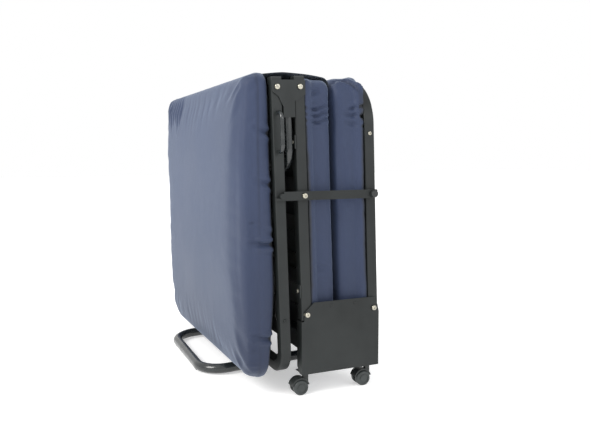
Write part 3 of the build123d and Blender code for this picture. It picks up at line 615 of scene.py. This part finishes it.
def keep_clear(co, node):
    """Flattens a mattress where it lies against its frame, its neighbour or the end plates."""
    if node == "head_mattress":
        co[:, 0] = np.minimum(co[:, 0], HEAD_INNER + (HEAD_TOP - co[:, 2]) * math.tan(LEAN))
    else:
        side = -1.0 if node == "middle_mattress" else 1.0
        edge = smoothstep(np.abs(co[:, 1]), 370.0, 384.0)
        squared = edge * smoothstep(side * co[:, 0], 50.0, 66.0)
        co[:, 1] += np.sign(co[:, 1]) * (FLUSH - np.abs(co[:, 1])) * squared
        co[:, 0] += side * (FRAME_PLANE - side * co[:, 0]) * edge * smoothstep(side * co[:, 0], 64.0, 71.0)
        co[:, 0] = side * np.clip(side * co[:, 0], INNER_PLANE, FRAME_PLANE)
        low = co[:, 2] < END_PLATE_TOP
        co[low, 1] = np.clip(co[low, 1], -END_PLATE_PLANE, END_PLATE_PLANE)
    return co


def mark(piece, name, values):
    made = piece.data.attributes.new(name, "FLOAT", "POINT")
    made.data.foreach_set("value", values.astype(np.float32))


def tip(co, pivot_x):
    """From the upright stack to the tipped one, and from millimetres off the base's middle to the row frame."""
    if pivot_x is not None:
        x, z = co[:, 0] - pivot_x, co[:, 2] - PIVOT_Z
        co[:, 0] = pivot_x + x * math.cos(LEAN) - z * math.sin(LEAN)
        co[:, 2] = PIVOT_Z + z * math.cos(LEAN) + x * math.sin(LEAN)
    return co * MM + np.array(BASE_MIDDLE)


def make_mattress(node, spec, cloth):
    x_low, x_high = spec["x"]
    z_low, z_high = spec["z"]
    wide = HALF_WIDTH - SIDE_INSET
    low, high = (-wide, z_low), (wide, z_high)
    piece = slab_mesh(node + "_cover", x_low, x_high, low, high, spec["radii"], *spec["rims"])
    piece.data.transform(Matrix.Scale(MM, 4))
    remesh(piece, VOXEL)
    co = points_of(piece) / MM
    pinned = np.zeros(len(co), bool)
    for x in spec["held"]:
        pinned |= np.abs(co[:, 0] - x) < VOXEL / MM / 2
    inflate(piece, pinned, spec["cap"] * MM)
    subdivide(piece)
    co, out = points_of(piece) / MM, normals_of(piece)
    if node == "head_mattress":
        co = hang(co)
    sideways = 1.0 - np.abs(out[:, 0])
    near_seam = np.zeros(len(co))
    for x in spec["sewn"]:
        beside = np.exp(-((co[:, 0] - x) / SEAM_WIDTH) ** 2) * smoothstep(sideways, 0.3, 0.7)
        near_seam = np.maximum(near_seam, beside)
    co -= out * (SEAM_DEPTH * near_seam)[:, None]
    for fold in spec["folds"]():
        co = press(co, out, *fold)
    # the welt gets the same painted shade as the seams
    for start, end in spec["welt"]():
        near_seam = np.maximum(near_seam, along_line(co, out, start, end, WELT_WIDTH))
    co = keep_clear(co, node)
    if spec["pivot"] is not None:
        co = follow_end_arc(co, spec["pivot"])
    # the seam mask, which also presses the grooves in, paints shade along them
    mark(piece, "painted_seam_shade", near_seam)
    # painted shade on the faces that lie against the frame
    mark(piece, "painted_gap_shade", smoothstep(spec["painted_gap_side"] * out[:, 0], 0.55, 0.85))
    set_points(piece, tip(co, spec["pivot"]))
    for polygon in piece.data.polygons:
        polygon.use_smooth = True
    piece.data.materials.clear()
    piece.data.materials.append(cloth)
    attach(piece, spec["body"])
    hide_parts(node)
    return piece


# ---------------------------------------------------------------- fabric strip over the link
STRIP_HALF_WIDTH = 366.0
STRIP_APEX = (-114.0, 742.0)
STRIP_STEP = 4.0
STRIP_COLUMN = 12.0
STRIP_RIPPLE = 0.9
STRIP_TUCK = 20.0           # radius at which the strip turns down between the two inner mattresses


def strip_profile(end):
    """Points in X and Z from the apex over the link down to where the strip lies on a mattress."""
    steps = int(abs(end[0] - STRIP_APEX[0]) / STRIP_STEP)
    points = []
    for k in range(steps + 1):
        part = k / steps
        fall = (STRIP_APEX[1] - end[1]) * (0.35 * part + 0.65 * part ** 2.0)
        points.append((STRIP_APEX[0] + (end[0] - STRIP_APEX[0]) * part, STRIP_APEX[1] - fall))
    return points


def tucked_profile(end):
    """The same, then round the mattress's edge and down into the crease beside it."""
    points = strip_profile(end)
    for k in range(1, 7):
        turn = math.radians(15 * k)
        points.append((end[0] + STRIP_TUCK * math.sin(turn), end[1] - STRIP_TUCK * (1 - math.cos(turn))))
    return points


def make_strip(name, profile, node, cloth):
    columns = int(2 * STRIP_HALF_WIDTH / STRIP_COLUMN)
    rows = []
    for x, z in profile:
        for k in range(columns + 1):
            y = -STRIP_HALF_WIDTH + 2 * STRIP_HALF_WIDTH * k / columns
            ripple = STRIP_RIPPLE * noise.noise(Vector((x * 0.02, y * 0.012, 3.0)))
            rows.append((x, y, z + ripple))
    width = columns + 1
    faces = [(i * width + k, i * width + k + 1, (i + 1) * width + k + 1, (i + 1) * width + k)
             for i in range(len(profile) - 1) for k in range(columns)]
    mesh = bpy.data.meshes.new(name)
    placed = tip(np.array(rows), -PIVOT_X)
    mesh.from_pydata(placed.tolist(), [], faces)
    piece = bpy.data.objects.new(name, mesh)
    bpy.context.scene.collection.objects.link(piece)
    mesh.materials.append(cloth)
    for polygon in mesh.polygons:
        polygon.use_smooth = True
    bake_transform(piece)
    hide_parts(node)
    return piece


# ---------------------------------------------------------------- scene
make_camera()
make_studio()
make_floor()
dress_cad_nodes()
cover_cloth = woven_cloth("cover_blue", (0.0175, 0.0275, 0.064), (0.028, 0.042, 0.089), 0.31, 0.62)
strip_cloth = woven_cloth("strip_dark", (0.018, 0.021, 0.026), (0.040, 0.045, 0.052), 0.30, 0.60)
covers = {node: make_mattress(node, spec, cover_cloth) for node, spec in MATTRESSES.items()}
make_strip("link_strip_head", strip_profile((-186.0, 735.0)), "strip_head",
           strip_cloth)
make_strip("link_strip_middle", tucked_profile((-20.5, 731.5)), "strip_middle",
           strip_cloth)
